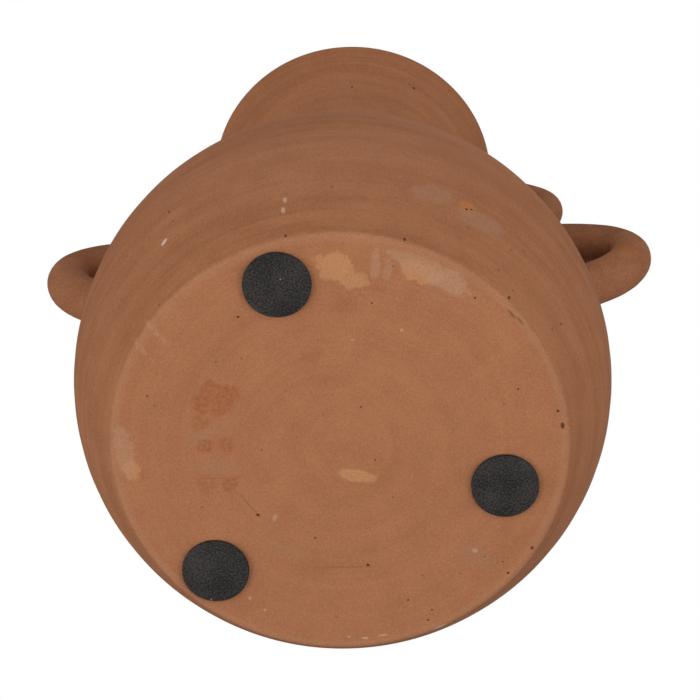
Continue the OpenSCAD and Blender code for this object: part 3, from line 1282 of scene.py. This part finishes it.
@dataclass
class FoamPad:
    """A stick-on foam disc under the foot."""

    finish: bpy.types.Material
    node: str
    seed: float
    sides: int = 96
    edge_round: float = 0.35
    insets: int = 4
    inset_share: float = 0.2
    trim_error: float = 0.012

    def build(self) -> bpy.types.Object:
        """Builds the disc in the space of its CAD node.

        Returns:
            The finished pad.
        """
        low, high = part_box(self.node)
        centre = (low + high) / 2
        radius = (high.y - low.y) / 2
        work = bmesh.new()
        bmesh.ops.create_circle(work, cap_ends=True, radius=radius, segments=self.sides)
        bmesh.ops.translate(work, verts=work.verts, vec=(0, 0, low.z))
        grown = bmesh.ops.extrude_face_region(work, geom=list(work.faces))["geom"]
        top = [item for item in grown if isinstance(item, bmesh.types.BMVert)]
        bmesh.ops.translate(work, verts=top, vec=(0, 0, high.z - low.z))
        bmesh.ops.recalc_face_normals(work, faces=work.faces)
        rims = [e for e in work.edges if abs(e.calc_face_angle(0.0)) > 1.0]
        bmesh.ops.bevel(
            work, geom=rims, offset=self.edge_round * MM, offset_type="OFFSET", segments=3, profile=0.5,
            affect="EDGES", material=-1,
        )
        flats = [face for face in work.faces if len(face.verts) > 8]
        for _ in range(self.insets):
            bmesh.ops.inset_region(work, faces=flats, thickness=radius * self.inset_share, depth=0.0)
        for vert in work.verts:
            ring = Vector((vert.co.x, vert.co.y, 0)) / radius
            wander = noise.noise(ring.normalized() * 1.6 + Vector((self.seed, 0, 0)))
            cut = self.trim_error * (0.5 - 0.5 * wander)
            vert.co.x *= 1 - cut
            vert.co.y *= 1 - cut
            vert.co += Vector((centre.x, centre.y, 0))
        piece = finished_object(self.node + "_foam", work, self.finish, "root")
        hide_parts(self.node)
        return piece


# ------------------------------------------------------------------------------ studio


@dataclass(frozen=True)
class Lamp:
    """A soft square lamp: its place in millimetres and its power in watts."""

    name: str
    place: tuple[float, float, float]
    power: float


JAR_MIDDLE = Vector((0.0, 0.0, 120.0))
LAMPS = (
    Lamp("front_lamp", (200.0, -1150.0, -1150.0), 6.0),
    Lamp("right_lamp", (1350.0, -200.0, -900.0), 12.5),
    Lamp("left_lamp", (-1350.0, -200.0, -900.0), 16.2),
    Lamp("high_lamp", (250.0, -1600.0, 900.0), 6.0),
    Lamp("top_lamp", (400.0, 900.0, 1700.0), 6.0),
)


@dataclass
class Studio:
    """The pale floor, the white surround, soft lights and the camera under the jar."""

    eye: tuple[float, float, float] = (72.1, -708.2, -1468.3)
    target: tuple[float, float, float] = (1.2, 17.2, 150.0)
    upwards: tuple[float, float, float] = (0.042, -0.911, 0.41)
    lens: float = 180.0
    sensor: float = 36.0
    floor_gap: float = 0.4
    floor_half: float = 4000.0
    lamp_size: float = 1500.0
    lamps: tuple[Lamp, ...] = LAMPS

    def camera(self) -> None:
        """Places the camera, which looks up at the foot from in front of the jar."""
        data = bpy.data.cameras.new("camera")
        data.lens = self.lens
        data.sensor_width = self.sensor
        data.clip_end = 20.0
        camera = bpy.data.objects.new("camera", data)
        eye = Vector(self.eye) * MM
        back = (eye - Vector(self.target) * MM).normalized()
        right = Vector(self.upwards).cross(back).normalized()
        up = back.cross(right)
        turned = Matrix((right, up, back)).transposed()
        camera.matrix_world = Matrix.LocRotScale(eye, turned, None)
        bpy.context.scene.collection.objects.link(camera)
        bpy.context.scene.camera = camera

    def floor(self) -> None:
        """Lays a pale floor that can only be seen from above."""
        work = bmesh.new()
        bmesh.ops.create_grid(work, x_segments=1, y_segments=1, size=self.floor_half * MM)
        bmesh.ops.translate(work, verts=work.verts, vec=(0, 0, -self.floor_gap * MM))
        material, graph = blank_material("pale_floor")
        paint = graph.node("ShaderNodeBsdfPrincipled")
        paint.inputs["Base Color"].default_value = (0.86, 0.85, 0.84, 1.0)
        paint.inputs["Roughness"].default_value = 0.9
        clear = graph.node("ShaderNodeBsdfTransparent")
        behind = graph.node("ShaderNodeNewGeometry").outputs["Backfacing"]
        mixed = graph.node("ShaderNodeMixShader", {0: behind, 1: paint.outputs[0], 2: clear.outputs[0]})
        graph.node("ShaderNodeOutputMaterial", {"Surface": mixed.outputs[0]})
        mesh = bpy.data.meshes.new("floor")
        work.to_mesh(mesh)
        work.free()
        mesh.materials.append(material)
        floor = bpy.data.objects.new("floor", mesh)
        floor.visible_diffuse = False
        floor.visible_glossy = False
        floor.visible_transmission = False
        floor.visible_shadow = False
        bpy.context.scene.collection.objects.link(floor)

    def surround(self) -> None:
        """Makes the world white to the eye and softer as a light."""
        world = bpy.data.worlds.new("surround")
        world.use_nodes = True
        world.node_tree.nodes.clear()
        graph = Graph(world.node_tree)
        seen = graph.node("ShaderNodeBackground", {"Color": (1, 1, 1, 1), "Strength": 1.0})
        lit = graph.node("ShaderNodeBackground", {"Color": (1.0, 0.97, 0.94, 1), "Strength": 0.3})
        path = graph.node("ShaderNodeLightPath").outputs["Is Camera Ray"]
        mixed = graph.node("ShaderNodeMixShader", {0: path, 1: lit.outputs[0], 2: seen.outputs[0]})
        graph.node("ShaderNodeOutputWorld", {"Surface": mixed.outputs[0]})
        bpy.context.scene.world = world

    def hang(self, lamp: Lamp) -> None:
        """Hangs a lamp that points at the jar's middle.

        Args:
            lamp: The lamp to hang.
        """
        data = bpy.data.lights.new(lamp.name, "AREA")
        data.shape = "SQUARE"
        data.size = self.lamp_size * MM
        data.energy = lamp.power
        hung = bpy.data.objects.new(lamp.name, data)
        place = Vector(lamp.place) * MM
        hung.location = place
        hung.rotation_mode = "QUATERNION"
        hung.rotation_quaternion = (JAR_MIDDLE * MM - place).to_track_quat("-Z", "Y")
        hung.visible_camera = False
        bpy.context.scene.collection.objects.link(hung)

    def build(self) -> None:
        """Sets the whole studio."""
        self.camera()
        self.floor()
        self.surround()
        for lamp in self.lamps:
            self.hang(lamp)
        bpy.context.scene.view_settings.view_transform = "Standard"


# ------------------------------------------------------------------------------ assembly


# Rods of the handles, and the four points that guide each kind's curve, above the foot
LOWER_ROD_D = 23.0
UPPER_ROD_D = 18.0
LOWER_GUIDES = ((94.0, 166.0), (153.5, 176.0), (188.0, 260.0), (54.0, 224.0))
UPPER_GUIDES = ((52.0, 242.0), (85.5, 246.5), (149.5, 289.5), (60.0, 313.0))


def main() -> None:
    """Builds the jar piece by piece, and the studio around it."""
    logging.basicConfig(level=logging.INFO, format="%(name)s: %(message)s")
    form = JarForm.from_frame()
    groups = Grouped()
    thrown = ClayFinish("thrown_clay", dark=(0.30, 0.118, 0.054, 1.0), light=(0.40, 0.168, 0.082, 1.0))
    # The walls' marks include painted light and a painted sheen on the belly.
    walls = replace(thrown, marks=WALL_LIGHT_AND_MARKS, pits=WALL_PITS).build(groups, form)
    foot = replace(thrown, name="foot_clay", marks=FOOT_MARKS, pits=FOOT_PITS).build(groups, form)
    # The handles' marks include painted shade inside and under their loops.
    rolled = ClayFinish(
        "handle_clay",
        dark=(0.28, 0.108, 0.050, 1.0),
        light=(0.385, 0.165, 0.083, 1.0),
        relief=0.0003,
        lines=0.15,
        marks=HANDLE_SHADE_AND_MARKS,
    ).build(groups, form)
    foam = FoamFinish().build()
    film = FilmFinish().build()

    for piece in ThrownJar(form, walls, foot).build():
        LOG.info("%s: %d faces", piece.name, len(piece.data.polygons))

    handles = (
        ("handle_lower_right", LOWER_GUIDES, LOWER_ROD_D, 1, 1.7),
        ("handle_lower_left", LOWER_GUIDES, LOWER_ROD_D, -1, 5.3),
        ("handle_upper_right", UPPER_GUIDES, UPPER_ROD_D, 1, 9.1),
        ("handle_upper_left", UPPER_GUIDES, UPPER_ROD_D, -1, 12.9),
    )
    for node, guides, rod_d, side, seed in handles:
        piece = LoopHandle(form, rolled, node, guides, rod_d, side, seed).build()
        LOG.info("%s: %d faces", piece.name, len(piece.data.polygons))

    for number in (1, 2, 3):
        pad = FoamPad(foam, f"foot_pad_{number}", 3.7 * number).build()
        LOG.info("%s: %d faces", pad.name, len(pad.data.polygons))
        film_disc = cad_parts[f"pad_adhesive_{number}"]
        film_disc.data.materials.clear()
        film_disc.data.materials.append(film)
        LOG.info("%s: kept from the frame", film_disc.name)

    Studio().build()


if __name__ == "__main__":
    main()
